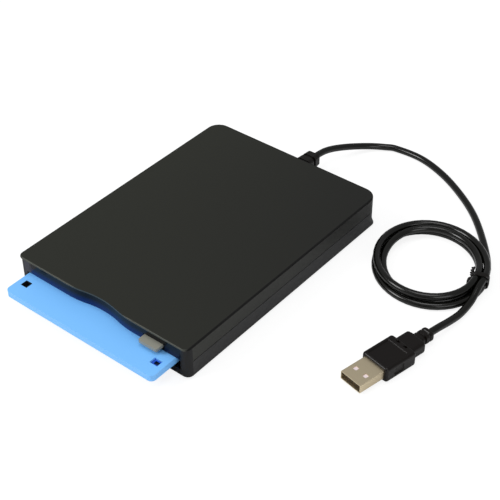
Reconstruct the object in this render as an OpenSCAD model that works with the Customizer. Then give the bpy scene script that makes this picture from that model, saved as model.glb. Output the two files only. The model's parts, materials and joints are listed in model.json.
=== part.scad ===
// External floppy disk drive with a captive cord, a tied coil and a flat plug.
// X is to the right of the slot, Y runs from the slot to the cord, Z is up, the feet stand on Z = 0.

/* [Body] */
// Width of the housing
body_w = 103; // [102.6:0.1:103.4]
// Length of the housing without gland and disk
body_l = 142; // [141.6:0.1:142.6]
// Height of the top face above the table
body_h = 17.6; // [17.6:0.1:18.4]
// Height of the rubber feet
foot_h = 1; // [0.8:0.1:1]
// Wall thickness of the two covers
wall = 1.8; // [1.6:0.1:1.8]
// Depth of the finger dent in the front edge
dent = 2.2; // [1.8:0.1:2.4]

/* [Disk] */
// Width of the disk
disk_w = 90; // [89.8:0.1:90.2]
// Length of the disk
disk_l = 94; // [93.8:0.1:94]
// Thickness of the disk
disk_t = 3.3; // [3.3:0.05:3.3]
// How far the ejected disk stands out of the front
disk_out = 14.2; // [14:0.1:14.4]

/* [Button] */
// Width of the eject button
button_w = 10.6; // [10:0.1:11.2]
// How far the eject button stands out
button_out = 3.3; // [2.8:0.1:3.6]

/* [Cord] */
// Diameter of the cord
cord_d = 3.5; // [3.4:0.1:3.5]
// Number of loops in the coil
loops = 3; // [3:1:3]

/* [Hidden] */
$fn = 48;
slack = 0.3;
touch = 0.05;

// Housing
x_half = body_w / 2;
y_half = body_l / 2;
body_z = foot_h;
floor_t = 1.2;
floor_z = body_z + floor_t;
seam_z = 9.4;
roof_t = 1.6;
roof_z = body_h - roof_t;
r_front = 3;
r_rear = 7;
r_flare = [4.5, 5.8, 7];
flare_z = [foot_h, 2.3, 4.6];
edge_r = 0.6;
lip_t = 0.8;
seam_t = 0.3;
seam_d = 0.4;
bezel_back = -67;
bezel_set = 0.8;
dent_r = 46;
dent_span = 20;
dent_bite = 0.01;

// Slot, button window and lamp in the front
slot_half = 47;
slot_z = [4.2, 9.8];
window_x = [26, 38];
window_z = [10.9, 13.2];
lamp_x = [30, 34];
lamp_z = [2.6, 3.6];
lamp_pipe_l = 2.8;

// Feet and screws
foot_r = 3.5;
foot_at = [42, 60];
screw_at = [34, 57];
screw_head_r = 1.9;
screw_head_t = 0.9;
screw_r = 1;
spacer_r = 2.4;

// The drive sits a little to the left of the housing's middle
drive_x = -0.65;

// Chassis
sheet = 0.4;
chassis_z = 3;
chassis_top = 15.3;
chassis_x = [47.6, 48.2];
chassis_y = [-64, 64];
chassis_corner = 2;
well_r = 19.5;
spindle_y = -22.5;
pin_ys = [-50, 10];
pin_z = 8;
pin_r = 0.9;
pin_x = [45.9, 48];
pin_play = 0.15;
drop = 1.7;
shield_t = 0.4;
shield_y = [-60, 66];
shield_holes = [[-30, 40], [30, 40], [0, -40]];
shield_hole_r = 2.5;

// Carrier that holds the disk
carrier_x = [45.4, 45.9];
carrier_y = [-60, 12];
carrier_z = [5.35, 5.8, 9.9, 10.4];
lip_x = 42.5;
head_gap_x = 13;
head_gap_y = -6;
lever_gap_x = [-26, 12];
lever_gap_y = 6.8;
lever_at = [-32.75, -3.4];
lever_tip = [-6, 10.2];
lever_z = [10.5, 11];
lever_pin_bottom = 7;
lever_pin_r = 1.2;
lever_end_r = 2.2;
lever_half = 1.8;
lever_hub_r = 3;
stud_r = 1.5;
stud_play = 0.05;

// Slider that the button pushes
slider_x = [46.2, 46.8];
slider_y = [-62.5, 18];
slider_z = [11.2, 11.8];
flange_y = [-53, 17];
flange_bottom = 4.6;
slider_travel = 4;
slider_gap_y = -8;
tab_x = [28, 36];
button_x = 31.9;
button_z = [11.3, 12.9];
button_back = -68;
button_r = 0.8;
spring_r = 1.3;
spring_wire = 0.4;
spring_at = [[-41, 14.5], [41, 14.5]];
spring_y = [18.2, 27.4];
spring_turns = 5;
spring_play = 0.24;
spring_steps = 10;
wire_sides = 5;
lug_t = 0.6;
lug_half = 2;

// Spindle
motor_board_x = [-30, 30];
motor_board_y = [-46, 2];
stator_r = [6, 15];
stator_z = 3.45;
stator_teeth = 12;
tooth_w = 1.6;
bearing_r = [1.6, 4.2];
bearing_top = 3.55;
rotor_r = 18;
rotor_z = [3.7, 4.25];
magnet_in_r = 16.2;
magnet_bottom = 3.2;
shaft_r = 1.5;
shaft_bottom = 3.1;
shaft_top = 5.1;
drive_pin_r = 1;
drive_pin_at = 10;
drive_pin_top = 4.33;

// Heads
carriage_x = 12;
carriage_y = [41, 49];
carriage_z = [6.4, 9.6];
rod_x = 9;
rod_z = 8.4;
rod_r = 1.2;
rod_y = [24.2, 57];
bore_play = 0.05;
screw_rod_r = 1.1;
screw_rod_y = [24, 51.3];
ear_x = [8, 10];
ear_y = [42, 48];
ear_top = 13;
arm_pivot = [45, 11.5];
arm_pin_r = 1;
arm_barrel_r = 1.4;
arm_barrel_half = 7.6;
arm_z = [9.8, 10.8];
arm_y = [14, 43];
arm_half = 4;
arm_raised = 7.5;
low_arm_z = [3.6, 4.1];
low_web_y = 43;
head_half = 3;
head_y = [14.5, 19.5];
low_head_top = 5.85;
high_head_bottom = 6.25;
clip_half = 2.4;
clip_t = 1.8;
clip_top = 10.4;
bracket_x = [-14.6, -3.4];
bracket_t = 1;
bracket_top = 13.4;
front_bracket_t = 1.4;
front_bracket_half = 2.6;
stepper_r = 4.7;
stepper_y = [51.3, 63.5];
stepper_boss_r = 2;
stepper_boss_l = 0.8;

// Circuit board
board_x = [16, 46.5];
board_y = [28, 62.5];
board_z = [4.4, 5.4];
board_post_r = 1.8;
board_posts = [[19, 31], [43, 31], [43.5, 58.5], [30, 59.5]];
chip_t = 1.1;
chips = [[20, 36, 12, 12], [36, 38, 7, 10], [22, 51, 5, 3], [38, 53, 6, 4]];
socket_x = [18, 26];
socket_y = [54.5, 60.5];
socket_top = 9.4;
switch_at = [40.3, -62.4];
switch_half = 1.3;
switch_top = 4.2;
switch_button_r = 0.7;
switch_body_top = 3.9;

// Disk, drawn in its ejected place
disk_z = 6.1;
disk_y = -y_half - disk_out;
disk_front = disk_y + disk_l;
disk_r = 2.5;
disk_chamfer = 4;
shell_t = 0.8;
shell_mid = disk_z + disk_t / 2;
hub_y = disk_front - 45.5;
media_r = 42.9;
media_cavity_r = 43.5;
media_z = [7.6, 7.9];
media_in_r = 9;
hub_hole_r = 16;
hub_r = 12.5;
hub_z = [6.15, 6.65];
hub_square = 4.4;
hub_slot = [4, 3.4];
hub_slot_at = 9.4;
liner_t = 0.35;
liner_in_r = 16.5;
head_window_half = 4.5;
head_window = [3, 27];
window_line_half = 5.4;
shutter_x = [-24, 6];
shutter_travel = 15.5;
shutter_l = 29.4;
shutter_t = 0.2;
shutter_set = 0.02;
shutter_recess = 0.25;
shutter_play = 0.4;
hd_hole = [-40.15, -76.5];
hd_half = 1.9;
hd_floor = 0.5;
wp_hole = [40.15, -77.1];
wp_half = [2.2, 1.8];
wp_travel = 3.8;
wp_tab_z = [7, 8.4];
wp_pocket_z = [6.9, 8.5];
wp_finger_half = 1.3;
tab_play = 0.15;
tab_front = 0.6;
tab_dip = [[-1.1, 1.4], [-0.6, 1.3]];
tab_dip_d = 1;
coil_spring_at = [-38, 3];
coil_spring_r = 2.2;
coil_spring_wire = 0.5;
coil_spring_z = [7.4, 7.9];
spring_pocket = [10, 7];

// Gland where the cord leaves
gland_x = 1.5;
gland_z = 9.3;
gland_end = y_half + 14.2;
gland_neck = [6.6, 5.6];
gland_flange = [9.4, 8.4];
gland_flange_t = 2;
gland_root = [9, 8];
gland_tip = [7.8, 7];
gland_grooves = [75, 80];
gland_groove_w = 1.6;
gland_groove_d = 0.8;
gland_step = 1.6;
gland_r = 2;

// Cord route, chosen by hand
lead_in = [[17.35, 57.5, 7.4], [14, 57.8, 7.5], [10.5, 59.2, 7.8], [6.5, 60.2, 8.3], [3.4, 62, 8.9],
    [1.7, 64.6, 9.3], [1.5, 67.2, 9.3]];
lead_out = [[1.5, 85.2, 9.3], [1.6, 90, 9.2], [2.2, 96, 8.5], [4, 103, 7], [7.5, 112, 4.6],
    [13, 120.5, 2.6], [19, 125.5, 1.9], [25, 128.2, 1.8], [40, 128.6, 1.8], [56, 123.6, 1.8],
    [72, 114.8, 1.8], [87, 103.6, 1.8], [101, 89, 1.8], [112, 74.5, 2.1]];
tail_route = [[119, 54, 5.2], [120.1, 46, 2.9], [120.3, 37, 2], [119.6, 29, 2.7], [118.5, 21.5, 3.7]];
plug_at = [117.4, 15.7, 3.9];
plug_turn = -11.7;

// Coil
coil_at = [91.4, 56.5];
coil_size = [26.3, 29.8];
coil_turn = 30;
coil_start = -20;
coil_pitch = 4;
coil_low = 1.8;
coil_lift = 0.85;
lift_power_share = 24;
climb_share = 0.5;
coil_rings = 24;
coil_sides = 6;
tube_sides = 8;

// Tie
tie_t = 0.5;
tie_l = 3;
tie_gap = 0.1;
tie_tail_r = 0.7;
tie_tail = [[-4.2, 0, 4.6], [-5.4, 0.9, 5.2], [-6.9, 0.3, 6], [-8.4, 1.2, 6.2]];
tie_tail_low = [[-4.2, 0.8, 3.6], [-5.6, -0.5, 4], [-7.2, -1.4, 3.5]];

// Plug
neck_l = 8;
neck_w = 6.4;
neck_h = 5.2;
neck_r = 1.8;
neck_grooves = [2.4, 5];
neck_groove_w = 1;
neck_groove_d = 0.5;
mid_l = 8;
mid_w = 11.4;
mid_h = 6.4;
mid_r = 1.8;
grip_l = 18;
grip_w = 15.4;
grip_h = 7.8;
grip_r = 1.4;
panel_y = [19.6, 32.4];
panel_w = 12;
panel_d = 0.5;
notch_at = [2.2, 17.6];
notch_size = [1.6, 0.9];
side_y = [23.4, 29];
side_d = 0.6;
side_h = 4.2;
shell_l = 13.6;
shell_w = 12;
shell_h = 4.5;
shell_wall = 0.35;
shell_in = 6;
shell_hole = 2.1;
shell_hole_x = 3;
shell_hole_y = 8.8;
tongue_w = 11.2;
tongue_h = 1.9;
tongue_back = 1;
contact_xs = [-3.5, -1, 1, 3.5];
contact_w = 1;
contact_t = 0.2;
contact_l = 8;

// Box between two limits on each axis
module block(x, y, z) {
    translate([x[0], y[0], z[0]])
        cube([x[1] - x[0], y[1] - y[0], z[1] - z[0]]);
}

// Upright round post
module post(r, at, z) {
    translate([at[0], at[1], z[0]])
        cylinder(h = z[1] - z[0], r = r);
}

// Round bar along Y
module bar_y(r, x, z, y) {
    translate([x, y[0], z])
        rotate([-90, 0, 0])
            cylinder(h = y[1] - y[0], r = r);
}

// Round bar along X
module bar_x(r, y, z, x) {
    translate([x[0], y, z])
        rotate([0, 90, 0])
            cylinder(h = x[1] - x[0], r = r);
}

// Places what follows in the middle of the drive
module beside() {
    translate([drive_x, 0, 0])
        children();
}

module both_sides() {
    children();
    mirror([1, 0, 0])
        children();
}

module four_corners(at) {
    for (sx = [-1, 1])
        for (sy = [-1, 1])
            translate([sx * at[0], sy * at[1], 0])
                children();
}

// Rounded rectangle with one radius
module rounded(w, l, r) {
    square([w, l - 2 * r], center = true);
    square([w - 2 * r, l], center = true);
    for (sx = [-1, 1])
        for (sy = [-1, 1])
            translate([sx * (w / 2 - r), sy * (l / 2 - r)])
                circle(r);
}

// Outline of the housing, drawn in from the outside by inset
module outline(inset, rear) {
    w = x_half - inset;
    l = y_half - inset;
    rf = r_front - inset;
    rr = rear - inset;
    for (sx = [-1, 1]) {
        translate([sx * (w - rf), -l + rf])
            circle(rf);
        translate([sx * (w - rr), l - rr])
            circle(rr);
    }
    translate([-w, -l + rf])
        square([2 * w, 2 * l - rf - rr]);
    translate([-w + rf, -l])
        square([2 * (w - rf), l]);
    translate([-w + rr, 0])
        square([2 * (w - rr), l]);
}

// Space in front of the waved front edge
module dent_space(shift) {
    mid = -y_half + dent - dent_r;
    side = -y_half + dent_r - dent_bite;
    half = dent_span / 2;
    top = -y_half + dent;
    translate([0, shift]) {
        intersection() {
            translate([0, mid])
                circle(dent_r, $fn = 200);
            translate([-half, -y_half - dent])
                square([dent_span, 2 * dent]);
        }
        for (sx = [-1, 1])
            difference() {
                translate([sx > 0 ? half : -dent_span, -y_half - dent])
                    square([half, 2 * dent]);
                translate([sx * dent_span, side])
                    circle(dent_r, $fn = 200);
            }
    }
}

module outer_form(z0, z1) {
    ends = [[x_half, -y_half, r_front], [x_half, y_half, r_rear]];
    hull()
        for (e = ends)
            for (sx = [-1, 1])
                translate([sx * (e[0] - e[2]), e[1] - sign(e[1]) * e[2], z0])
                    rotate_extrude($fn = 48) {
                        square([e[2] - edge_r, z1 - z0]);
                        square([e[2], z1 - z0 - edge_r]);
                        translate([e[2] - edge_r, z1 - z0 - edge_r])
                            intersection() {
                                circle(edge_r, $fn = 24);
                                square(edge_r);
                            }
                    }
}

module gland_hole() {
    translate([gland_x, y_half, gland_z])
        cube([gland_neck[0], 2 * r_rear, gland_neck[1]], center = true);
}

module top_cover() {
    color([0.22, 0.22, 0.19])
        difference() {
            outer_form(seam_z, body_h);
            translate([0, 0, seam_z])
                linear_extrude(roof_z - seam_z)
                    outline(wall, r_rear);
            block([-x_half, x_half], [-y_half - dent, bezel_back], [0, body_h - lip_t]);
            translate([0, 0, seam_z])
                linear_extrude(body_h)
                    dent_space(0);
            gland_hole();
        }
}

// Thin slice of the flare round the rear corners
module flare_slice(i, shift) {
    translate([0, 0, flare_z[i] + shift])
        linear_extrude(touch)
            outline(0, r_flare[i]);
}

module bottom_cover() {
    color([0.21, 0.21, 0.22])
        difference() {
            union() {
                translate([0, 0, flare_z[2]])
                    linear_extrude(seam_z - seam_t - flare_z[2])
                        outline(0, r_rear);
                translate([0, 0, seam_z - seam_t])
                    linear_extrude(seam_t)
                        outline(seam_d, r_rear);
                for (i = [0:1])
                    hull() {
                        flare_slice(i, 0);
                        flare_slice(i + 1, -touch);
                    }
            }
            translate([0, 0, floor_z])
                linear_extrude(seam_z)
                    outline(wall, r_rear);
            block([-x_half, x_half], [-y_half - dent, bezel_back], [0, body_h]);
            gland_hole();
            four_corners(screw_at) {
                post(screw_r, [0, 0], [0, seam_z]);
                post(screw_head_r, [0, 0], [0, body_z + screw_head_t]);
            }
        }
}

module front_bezel() {
    color([0.05, 0.05, 0.06])
        difference() {
            intersection() {
                translate([0, bezel_set, body_z])
                    linear_extrude(body_h - lip_t - body_z)
                        outline(0, r_rear);
                block([-x_half, x_half], [-y_half, bezel_back], [0, body_h]);
            }
            linear_extrude(body_h)
                dent_space(bezel_set);
            block([-slot_half, slot_half], [-y_half - dent, 0], slot_z);
            block(window_x, [-y_half - dent, 0], window_z);
            block(lamp_x, [-y_half - dent, 0], lamp_z);
        }
}

module lamp_pipe() {
    color([0.55, 0.75, 0.35])
        block(lamp_x, [-y_half + bezel_set, -y_half + bezel_set + lamp_pipe_l], lamp_z);
}

module feet() {
    color([0.08, 0.08, 0.08])
        four_corners(foot_at)
            post(foot_r, [0, 0], [0, foot_h]);
}

module case_screws() {
    color([0.3, 0.3, 0.32])
        four_corners(screw_at) {
            difference() {
                post(screw_head_r, [0, 0], [body_z, body_z + screw_head_t]);
                block([-screw_head_r / 2, screw_head_r / 2], [-slack / 2, slack / 2],
                    [body_z, body_z + screw_head_t / 2]);
                block([-slack / 2, slack / 2], [-screw_head_r / 2, screw_head_r / 2],
                    [body_z, body_z + screw_head_t / 2]);
            }
            post(screw_r, [0, 0], [body_z + screw_head_t, chassis_z + sheet]);
        }
}

// The housing's screw places, seen from the drive
module screw_posts() {
    translate([-drive_x, 0, 0])
        four_corners(screw_at)
            children();
}

module pin_slot() {
    w = pin_r + pin_play;
    for (y = pin_ys)
        block([0, x_half], [y - w, y + w], [pin_z - drop - w, pin_z + w]);
}

module chassis() {
    color([0.72, 0.73, 0.75]) beside() {
        difference() {
            translate([0, 0, chassis_z])
                linear_extrude(sheet)
                    rounded(2 * chassis_x[1], chassis_y[1] - chassis_y[0], chassis_corner);
            post(well_r, [0, spindle_y], [0, body_h]);
            screw_posts()
                post(screw_r, [0, 0], [0, body_h]);
        }
        screw_posts()
            difference() {
                post(spacer_r, [0, 0], [floor_z, chassis_z]);
                post(screw_r, [0, 0], [0, body_h]);
            }
        both_sides()
            difference() {
                block(chassis_x, chassis_y + [chassis_corner, -chassis_corner],
                    [chassis_z + sheet, chassis_top]);
                pin_slot();
            }
        for (p = board_posts)
            post(board_post_r, p, [chassis_z + sheet, board_z[0]]);
        for (s = spring_at)
            block([s[0] - lug_half, s[0] + lug_half], [spring_y[1], spring_y[1] + lug_t],
                [chassis_z + sheet, s[1]]);
    }
}

module top_shield() {
    color([0.76, 0.77, 0.79]) beside()
        difference() {
            block([-chassis_x[1], chassis_x[1]], shield_y, [chassis_top, chassis_top + shield_t]);
            for (h = shield_holes)
                post(shield_hole_r, h, [0, body_h]);
            block([chassis_x[1] - r_rear / 2, x_half], [chassis_y[1], y_half], [0, body_h]);
            block([-x_half, -chassis_x[1] + r_rear / 2], [chassis_y[1], y_half], [0, body_h]);
        }
}

module eject_button() {
    front = -y_half - button_out;
    h = button_z[1] - button_z[0];
    color([0.6, 0.59, 0.54]) {
        translate([button_x, (front + button_back) / 2, button_z[0]])
            linear_extrude(h)
                rounded(button_w, button_back - front, button_r);
    }
}

module cam_slot(y) {
    r = pin_r + pin_play;
    steps = [[y, pin_z], [y + slider_travel, pin_z - drop]];
    long = norm(steps[1] - steps[0]);
    turn = atan2(steps[1][1] - steps[0][1], steps[1][0] - steps[0][0]);
    for (s = steps)
        bar_x(r, s[0], s[1], [0, x_half]);
    translate([0, steps[0][0], steps[0][1]])
        rotate([turn, 0, 0])
            block([0, x_half], [0, long], [-r, r]);
}

module slider_plate() {
    color([0.66, 0.67, 0.69]) beside() {
        difference() {
            block([-slider_x[1], slider_x[1]], slider_y, slider_z);
            block([-head_gap_x, head_gap_x], [slider_gap_y, y_half], [0, body_h]);
        }
        block(tab_x, [button_back, slider_y[0]], slider_z);
        both_sides()
            difference() {
                block(slider_x, flange_y, [flange_bottom, slider_z[0]]);
                for (y = pin_ys)
                    cam_slot(y);
            }
        for (s = spring_at)
            block([s[0] - lug_half, s[0] + lug_half], [slider_y[1] - lug_t, slider_y[1]],
                [slider_z[1], chassis_top - slack]);
    }
}

// Points of a helix along Y
function helix(at, r, y, turns, n) = [for (i = [0:turns * n])
    [at[0] + r * cos(360 * i / n), y[0] + (y[1] - y[0]) * i / (turns * n), at[1] + r * sin(360 * i / n)]];

module return_springs() {
    color([0.75, 0.75, 0.75]) beside()
        for (s = spring_at)
            sweep(helix([s[0], s[1] - spring_r - spring_wire], spring_r, spring_y + [spring_play, -spring_play],
                spring_turns, spring_steps), spring_wire / 2, wire_sides);
}

module disk_carrier() {
    top = [carrier_z[2], carrier_z[3]];
    color([0.7, 0.71, 0.73]) beside() {
        difference() {
            block([-carrier_x[1], carrier_x[1]], carrier_y, top);
            block([-head_gap_x, head_gap_x], [head_gap_y, y_half], [0, body_h]);
            block(lever_gap_x, [lever_gap_y, y_half], [0, body_h]);
        }
        both_sides() {
            block(carrier_x, carrier_y, [carrier_z[0], carrier_z[2]]);
            block([lip_x, carrier_x[0]], carrier_y, [carrier_z[0], carrier_z[1]]);
            for (y = pin_ys)
                bar_x(pin_r, y, pin_z, pin_x);
        }
        post(stud_r, lever_at, [carrier_z[3], lever_z[1] + touch]);
    }
}

module shutter_lever() {
    reach = lever_tip - lever_at;
    turn = atan2(reach[1], reach[0]);
    color([0.85, 0.85, 0.82]) beside() {
        translate([lever_at[0], lever_at[1], lever_z[0]])
            linear_extrude(lever_z[1] - lever_z[0])
                difference() {
                    union() {
                        circle(lever_hub_r);
                        rotate(turn)
                            translate([0, -lever_half])
                                square([norm(reach), 2 * lever_half]);
                        translate(reach)
                            circle(lever_end_r);
                    }
                    circle(stud_r + stud_play);
                }
        post(lever_pin_r, lever_tip, [lever_pin_bottom, lever_z[0]]);
    }
}

module motor_board() {
    color([0.12, 0.3, 0.2]) beside()
        difference() {
            block(motor_board_x, motor_board_y, [floor_z, chassis_z]);
            post(shaft_r, [0, spindle_y], [0, body_h]);
        }
}

module motor_stator() {
    color([0.72, 0.42, 0.2]) beside()
        translate([0, spindle_y, chassis_z])
            linear_extrude(stator_z - chassis_z)
                difference() {
                    union() {
                        circle(stator_r[0] + tooth_w);
                        for (i = [0:stator_teeth - 1])
                            rotate(360 * i / stator_teeth)
                                translate([0, -tooth_w / 2])
                                    square([stator_r[1] - tooth_w, tooth_w]);
                        difference() {
                            circle(stator_r[1]);
                            circle(stator_r[1] - tooth_w);
                        }
                    }
                    circle(stator_r[0]);
                }
}

module spindle_bearing() {
    color([0.75, 0.65, 0.4]) beside()
        difference() {
            post(bearing_r[1], [0, spindle_y], [chassis_z, bearing_top]);
            post(bearing_r[0], [0, spindle_y], [0, body_h]);
        }
}

module spindle_rotor() {
    c = [0, spindle_y];
    color([0.8, 0.8, 0.82]) beside() {
        post(rotor_r, c, rotor_z);
        difference() {
            post(rotor_r, c, [magnet_bottom, rotor_z[0]]);
            post(magnet_in_r, c, [0, body_h]);
        }
        post(shaft_r, c, [shaft_bottom, rotor_z[0]]);
        post(shaft_r, c, [rotor_z[1], shaft_top]);
        post(drive_pin_r, c + [0, drive_pin_at], [rotor_z[1], drive_pin_top]);
    }
}

module head_carriage() {
    color([0.15, 0.15, 0.16]) beside()
        difference() {
            union() {
                block([-carriage_x, carriage_x], carriage_y, carriage_z);
                both_sides()
                    block(ear_x, ear_y, [carriage_z[1], ear_top]);
                block([-arm_half, arm_half], [carriage_y[0], low_web_y], [low_arm_z[0], carriage_z[0]]);
                block([-arm_half, arm_half], [arm_y[0], carriage_y[0]], low_arm_z);
            }
            bar_y(rod_r + bore_play, rod_x, rod_z, [0, y_half]);
            bar_y(screw_rod_r + bore_play, -rod_x, rod_z, [0, y_half]);
            bar_x(arm_pin_r + bore_play, arm_pivot[0], arm_pivot[1], [-x_half, x_half]);
        }
}

module lower_head() {
    color([0.9, 0.9, 0.88]) beside()
        block([-head_half, head_half], head_y, [low_arm_z[1], low_head_top]);
}

// Turns what is drawn in the lowered place up to the raised one
module raise() {
    translate([0, arm_pivot[0], arm_pivot[1]])
        rotate([-arm_raised, 0, 0])
            translate([0, -arm_pivot[0], -arm_pivot[1]])
                children();
}

module upper_arm() {
    color([0.2, 0.2, 0.21]) beside()
        raise() {
            block([-arm_half, arm_half], arm_y, arm_z);
            block([-arm_half, arm_half], [arm_y[1], arm_pivot[0]], [arm_z[0] + slack, arm_pivot[1]]);
            bar_x(arm_barrel_r, arm_pivot[0], arm_pivot[1], [-arm_barrel_half, arm_barrel_half]);
            bar_x(arm_pin_r, arm_pivot[0], arm_pivot[1], [-ear_x[1], ear_x[1]]);
        }
}

module upper_head() {
    color([0.9, 0.9, 0.88]) beside()
        raise()
            block([-head_half, head_half], head_y, [high_head_bottom, arm_z[0]]);
}

module guide_rod() {
    color([0.8, 0.81, 0.83]) beside()
        bar_y(rod_r, rod_x, rod_z, rod_y);
}

module rod_clips() {
    color([0.7, 0.71, 0.73]) beside()
        for (y = [rod_y[0], rod_y[1] - clip_t])
            difference() {
                block([rod_x - clip_half, rod_x + clip_half], [y, y + clip_t],
                    [chassis_z + sheet, clip_top]);
                bar_y(rod_r, rod_x, rod_z, [0, y_half]);
            }
}

module lead_screw() {
    color([0.8, 0.81, 0.83]) beside()
        bar_y(screw_rod_r, -rod_x, rod_z, screw_rod_y);
}

module screw_bracket() {
    color([0.7, 0.71, 0.73]) beside()
        difference() {
            block([-rod_x - front_bracket_half, -rod_x + front_bracket_half],
                [screw_rod_y[0], screw_rod_y[0] + front_bracket_t], [chassis_z + sheet, clip_top]);
            bar_y(screw_rod_r + bore_play, -rod_x, rod_z, [0, y_half]);
        }
}

module stepper_motor() {
    color([0.62, 0.63, 0.65]) beside()
        bar_y(stepper_r, -rod_x, rod_z, stepper_y);
}

module motor_bracket() {
    color([0.7, 0.71, 0.73]) beside()
        difference() {
            block(bracket_x, [stepper_y[0] - bracket_t, stepper_y[0]], [chassis_z + sheet, bracket_top]);
            bar_y(screw_rod_r + bore_play, -rod_x, rod_z, [0, y_half]);
        }
}

module main_board() {
    color([0.1, 0.35, 0.2]) beside()
        block(board_x, board_y, board_z);
}

module board_chips() {
    color([0.1, 0.1, 0.1]) beside()
        for (c = chips)
            block([c[0], c[0] + c[2]], [c[1], c[1] + c[3]], [board_z[1], board_z[1] + chip_t]);
}

module cord_socket() {
    color([0.9, 0.9, 0.85]) beside()
        block(socket_x, socket_y, [board_z[1], socket_top]);
}

module sensor_switches() {
    color([0.1, 0.1, 0.1]) beside()
        for (sx = [-1, 1]) {
            x = sx * switch_at[0];
            y = switch_at[1];
            block([x - switch_half, x + switch_half], [y - switch_half, y + switch_half],
                [chassis_z + sheet, switch_body_top]);
            post(switch_button_r, [x, y], [switch_body_top, switch_top]);
        }
}

module disk_outline() {
    translate([0, disk_y + disk_l / 2])
        difference() {
            rounded(disk_w, disk_l, disk_r);
            polygon([[disk_w / 2 - disk_chamfer, disk_l / 2 + touch], [disk_w / 2 + touch, disk_l / 2 + touch],
                [disk_w / 2 + touch, disk_l / 2 - disk_chamfer]]);
        }
}

// Holes in both shells; the density hole has a floor
module disk_holes() {
    block([-head_window_half, head_window_half], [disk_front - head_window[1], disk_front - head_window[0]],
        [0, body_h]);
    block([hd_hole[0] - hd_half, hd_hole[0] + hd_half], [hd_hole[1] - hd_half, hd_hole[1] + hd_half],
        [disk_z + hd_floor, body_h]);
    block([wp_hole[0] - wp_half[0], wp_hole[0] + wp_half[0]],
        [wp_hole[1] - wp_half[1], wp_hole[1] + wp_half[1]], [0, body_h]);
}

// Rooms inside the disk: for the media, the tab and the spring
module disk_rooms() {
    post(media_cavity_r, [0, hub_y], [disk_z + shell_t, disk_z + disk_t - shell_t]);
    block([wp_hole[0] - wp_half[0], wp_hole[0] + wp_half[0]],
        [wp_hole[1] - wp_half[1], wp_hole[1] + wp_half[1] + wp_travel], wp_pocket_z);
    block([coil_spring_at[0] - spring_pocket[0] / 2, coil_spring_at[0] + spring_pocket[0] / 2],
        [coil_spring_at[1] - spring_pocket[1] / 2, coil_spring_at[1] + spring_pocket[1] / 2],
        [disk_z + shell_t, disk_z + disk_t - shell_t]);
    sx = [shutter_x[0] - shutter_travel - shutter_play, shutter_x[1] + shutter_play];
    sy = [disk_front - shutter_l - shutter_play, disk_front + touch];
    block(sx, sy, [disk_z - touch, disk_z + shutter_recess]);
    block(sx, sy, [disk_z + disk_t - shutter_recess, disk_z + disk_t + touch]);
    block(sx, [disk_front - shutter_recess, disk_front + touch], [disk_z, disk_z + disk_t]);
}

module disk_lower_shell() {
    color([0.47, 0.76, 1]) beside()
        difference() {
            translate([0, 0, disk_z])
                linear_extrude(shell_mid - disk_z)
                    disk_outline();
            disk_holes();
            disk_rooms();
            post(hub_hole_r, [0, hub_y], [0, disk_z + shell_t + touch]);
            block([wp_hole[0] - wp_finger_half, wp_hole[0] + wp_finger_half],
                [wp_hole[1] - wp_half[1], wp_hole[1] + wp_half[1] + wp_travel],
                [0, wp_pocket_z[0] + touch]);
        }
}

module disk_upper_shell() {
    color([0.47, 0.76, 1]) beside()
        difference() {
            translate([0, 0, shell_mid])
                linear_extrude(disk_z + disk_t - shell_mid)
                    disk_outline();
            disk_holes();
            disk_rooms();
        }
}

module disk_shutter() {
    y = [disk_front - shutter_l, disk_front - shutter_set];
    z = [disk_z + shutter_set, disk_z + disk_t - shutter_set];
    color([0.75, 0.76, 0.78]) beside()
        difference() {
            block(shutter_x, y, z);
            block([2 * shutter_x[0], disk_w], [hub_y, y[1] - shutter_t], [z[0] + shutter_t, z[1] - shutter_t]);
        }
}

module shutter_spring() {
    n = spring_steps;
    ring = [for (i = [0:n]) [coil_spring_at[0] + coil_spring_r * cos(270 + 300 * i / n),
        coil_spring_at[1] + coil_spring_r * sin(270 + 300 * i / n), coil_spring_z[0]
        + (coil_spring_z[1] - coil_spring_z[0]) * i / n]];
    color([0.75, 0.75, 0.75]) beside()
        sweep(ring, coil_spring_wire / 2, wire_sides);
}

module magnetic_disc() {
    color([0.2, 0.13, 0.1]) beside()
        difference() {
            post(media_r, [0, hub_y], media_z);
            post(media_in_r, [0, hub_y], [0, body_h]);
        }
}

module disk_hub() {
    c = [0, hub_y];
    color([0.78, 0.79, 0.8]) beside() {
        difference() {
            post(hub_r, c, hub_z);
            translate([0, hub_y, disk_z])
                cube([hub_square, hub_square, disk_t], center = true);
            block([-hub_slot[1] / 2, hub_slot[1] / 2],
                [hub_y + hub_slot_at - hub_slot[0] / 2, hub_y + hub_slot_at + hub_slot[0] / 2], [0, body_h]);
        }
        difference() {
            post(hub_r, c, [hub_z[1], media_z[0]]);
            post(hub_r - shell_t, c, [0, body_h]);
        }
    }
}

module disk_liners() {
    low = disk_z + shell_t;
    high = disk_z + disk_t - shell_t;
    color([0.9, 0.9, 0.88]) beside()
        for (z = [[low, low + liner_t], [high - liner_t, high]])
            difference() {
                post(media_r, [0, hub_y], z);
                post(liner_in_r, [0, hub_y], [0, body_h]);
                block([-window_line_half, window_line_half], [hub_y, y_half], [0, body_h]);
            }
}

module write_tab() {
    y0 = wp_hole[1] - wp_half[1] + tab_front;
    color([0.4, 0.68, 0.95]) beside()
        difference() {
            block([wp_hole[0] - wp_half[0] + tab_play, wp_hole[0] + wp_half[0] - tab_play],
                [y0, wp_hole[1] + wp_half[1]], wp_tab_z);
            block(tab_dip[0] + [wp_hole[0], wp_hole[0]], tab_dip[1] + [wp_hole[1], wp_hole[1]],
                [wp_tab_z[1] - tab_dip_d, body_h]);
        }
}

// One slice of the gland at a place along Y
module gland_slice(size, y, long) {
    translate([gland_x, y + long, gland_z])
        rotate([90, 0, 0])
            linear_extrude(long)
                rounded(size[0], size[1], gland_r);
}

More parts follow.
